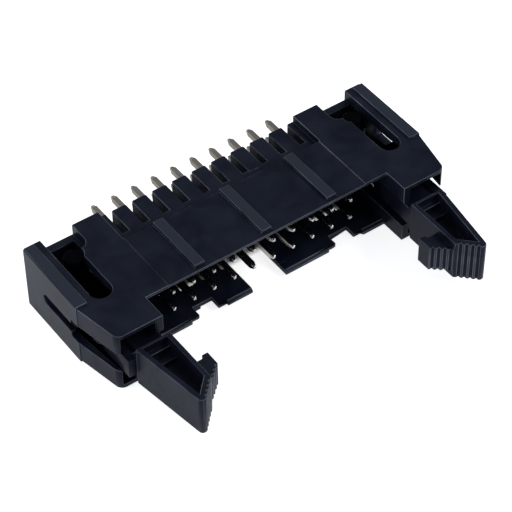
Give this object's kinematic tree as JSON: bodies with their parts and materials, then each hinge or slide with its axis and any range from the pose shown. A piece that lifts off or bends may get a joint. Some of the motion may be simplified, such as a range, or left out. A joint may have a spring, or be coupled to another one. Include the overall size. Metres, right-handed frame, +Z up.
{
  "type": "idc box header",
  "caption": "Straight shrouded box header for a ribbon-cable plug, with rows of square contacts, a keyed cavity and swinging ejector latches.",
  "frame": {"origin": "under the middle of the whole header as it lies on one long side, on the surface it lies on", "axes": "+X along the rows of contacts, +Y towards the circuit board, so a plug enters along +Y, and +Z up, across the two rows"},
  "size_m": [0.044, 0.0301, 0.0082],
  "materials": {
    "housing_plastic": "black moulded plastic, satin",
    "latch_plastic": "black moulded plastic, satin",
    "contact_plating": "tin plated"
  },
  "bodies": {
    "header_body": {"housing": "housing_plastic", "pin_01": "contact_plating", "pin_02": "contact_plating", "pin_03": "contact_plating", "pin_04": "contact_plating", "pin_05": "contact_plating", "pin_06": "contact_plating", "pin_07": "contact_plating", "pin_08": "contact_plating", "pin_09": "contact_plating", "pin_10": "contact_plating", "pin_11": "contact_plating", "pin_12": "contact_plating", "pin_13": "contact_plating", "pin_14": "contact_plating", "pin_15": "contact_plating", "pin_16": "contact_plating", "pin_17": "contact_plating", "pin_18": "contact_plating", "pin_19": "contact_plating", "pin_20": "contact_plating"},
    "left_latch": {"latch_left": "latch_plastic"},
    "right_latch": {"latch_right": "latch_plastic"}
  },
  "joints": [
    {"name": "left_latch_swing", "type": "hinge", "parent": "header_body", "child": "left_latch", "pos_m": [-0.018, 0.00833, 0.0041], "axis": [0, 0, -1], "range_deg": [0, 45]},
    {"name": "right_latch_swing", "type": "hinge", "parent": "header_body", "child": "right_latch", "pos_m": [0.018, 0.00833, 0.0041], "axis": [0, 0, 1], "range_deg": [0, 45]}
  ]
}
